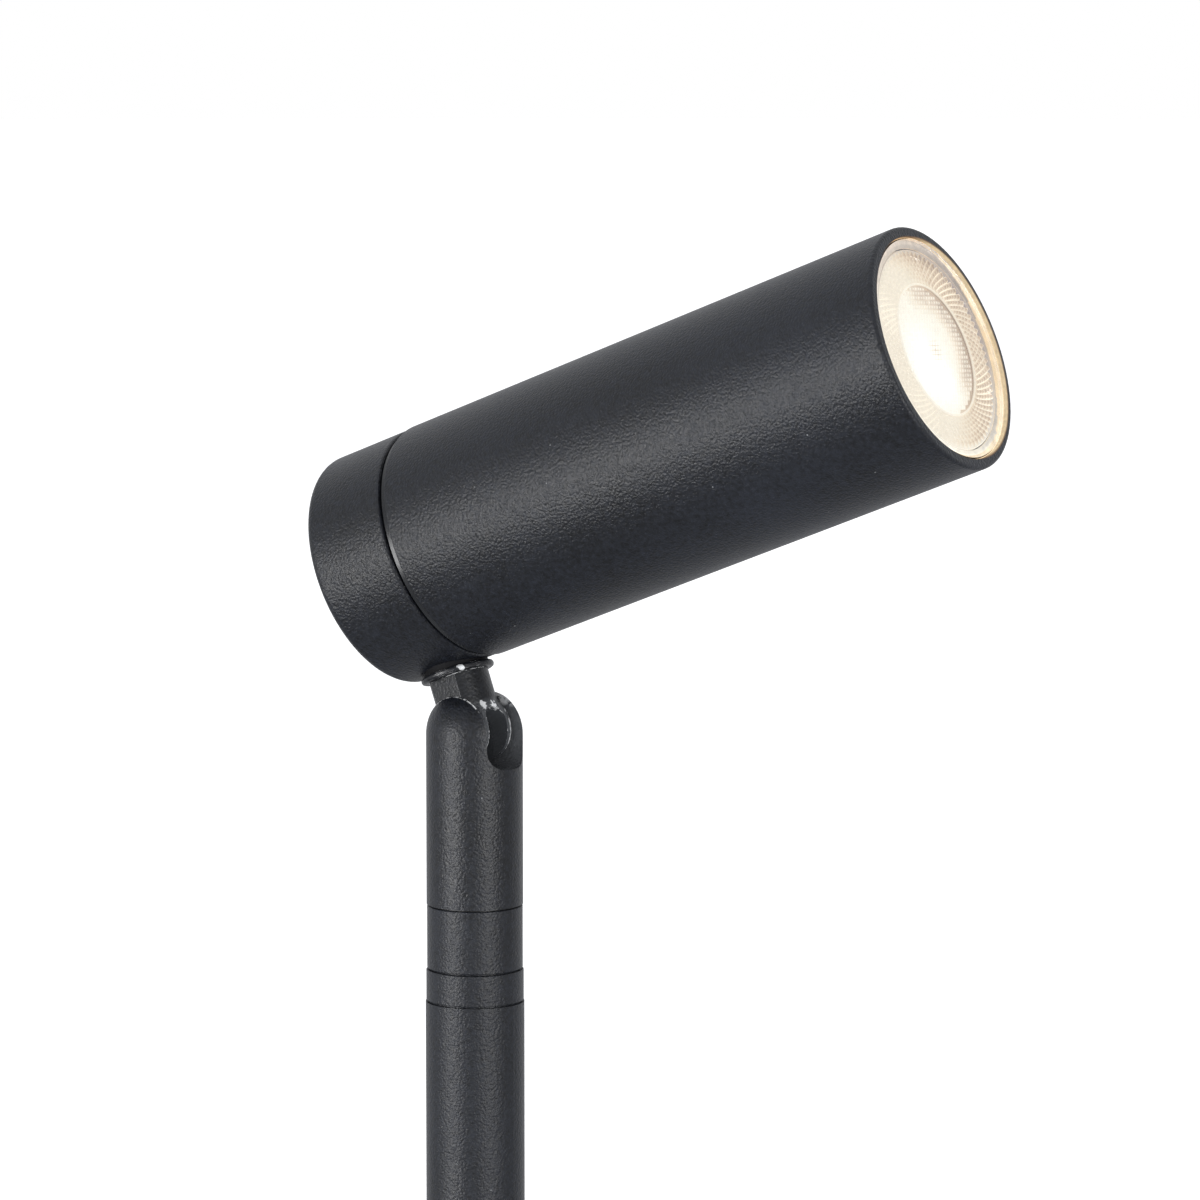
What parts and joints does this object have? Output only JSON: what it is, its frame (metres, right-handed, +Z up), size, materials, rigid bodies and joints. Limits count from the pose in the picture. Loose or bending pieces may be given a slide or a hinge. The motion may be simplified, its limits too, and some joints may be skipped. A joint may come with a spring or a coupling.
{
  "type": "garden spotlight stake",
  "caption": "Matt black cylindrical garden spotlight on a slim pole with a tilting, swivelling knuckle and a ground stake, holding a twist-in LED reflector lamp behind clear glass.",
  "frame": {"origin": "centre of the ground collar's underside, at soil level", "axes": "+Z up along the pole, Y along the tilt axis, +X the way the head points to within the 8 degrees its cap is turned on the neck"},
  "size_m": [0.1767, 0.0822, 0.5791],
  "materials": {
    "powder_black": "matte black powder coat with a fine sandy grain",
    "powder_steel": "black coat, thin and chipped along the edges",
    "nylon_black": "moulded black nylon",
    "rubber_black": "smooth black rubber",
    "steel_plain": "zinc plated",
    "brass_nickel": "nickel plated",
    "plastic_grey": "moulded polyamide",
    "cable_black": "glossy black sheath",
    "lead_green_yellow": "silicone insulation",
    "lead_brown": "silicone insulation",
    "lead_blue": "silicone insulation",
    "ceramic": "unglazed steatite",
    "lamp_shell": "white lacquer",
    "lamp_plastic": "moulded white plastic",
    "led_pcb": "white solder mask",
    "led_phosphor": "yellow phosphor",
    "driver_pcb": "circuit board",
    "lens_clear": "clear moulded acrylic",
    "silicone_clear": "clear silicone",
    "glass_clear": "clear toughened glass"
  },
  "bodies": {
    "stake": {"stake_spike": "nylon_black", "base_adapter": "powder_black", "tube_clamp_screws": "steel_plain", "gland_body": "nylon_black", "gland_seal": "rubber_black", "gland_nut": "nylon_black", "splice_connector": "plastic_grey", "pole_cable": "cable_black", "pole_tube": "powder_black", "tube_plug": "powder_black", "swivel_sleeve": "powder_black", "swivel_washer": "nylon_black"},
    "knuckle": {"knuckle_holder": "powder_black", "swivel_set_screw": "steel_plain", "pivot_screw": "steel_plain", "friction_washers": "nylon_black"},
    "head": {"neck": "powder_steel", "pivot_pin": "steel_plain", "neck_gasket": "rubber_black", "neck_washer": "steel_plain", "neck_nut": "brass_nickel", "rear_cap": "powder_black", "joint_cable": "cable_black", "head_cable": "cable_black", "terminal_block": "plastic_grey", "terminal_screws": "steel_plain", "earth_screw": "steel_plain", "lead_earth": "lead_green_yellow", "lead_live": "lead_brown", "lead_neutral": "lead_blue", "lamp_bracket": "steel_plain", "bracket_screws": "steel_plain", "lamp_holder": "ceramic", "holder_contacts": "brass_nickel", "holder_screws": "steel_plain"},
    "lamp": {"lamp_heatsink": "lamp_shell", "lamp_base": "lamp_plastic", "lamp_pins": "brass_nickel", "led_board": "led_pcb", "led_emitter": "led_phosphor", "lamp_driver": "driver_pcb", "lamp_lens": "lens_clear"},
    "seal_carrier": {"barrel_seal": "rubber_black"},
    "barrel_group": {"barrel": "powder_black", "glass_seal": "silicone_clear", "front_glass": "glass_clear"}
  },
  "joints": [
    {"name": "swivel", "type": "hinge", "parent": "stake", "child": "knuckle", "pos_m": [0, 0, 0.24], "axis": [0, 0, 1], "range_deg": [-155, 155]},
    {"name": "tilt", "type": "hinge", "parent": "knuckle", "child": "head", "pos_m": [0, 0, 0.278], "axis": [0, 1, 0], "range_deg": [-68, 110], "deforming": ["joint_cable"]},
    {"name": "seal_slide", "type": "slide", "parent": "head", "child": "seal_carrier", "axis": [0.9221, 0.1392, 0.361], "range_m": [0, 0.0061]},
    {"name": "barrel_unscrew", "type": "hinge", "parent": "seal_carrier", "child": "barrel_group", "pos_m": [-0.01671, 0, 0.3207], "axis": [0.9221, 0.1392, 0.361], "range_deg": [0, 1440]},
    {"name": "lamp_twist", "type": "hinge", "parent": "head", "child": "lamp", "pos_m": [-0.01671, 0, 0.3207], "axis": [0.9221, 0.1392, 0.361], "range_deg": [0, 30]}
  ],
  "couplings": [
    {"joint": "seal_slide", "follows": "barrel_unscrew", "m_per_rad": 0.00023873}
  ]
}
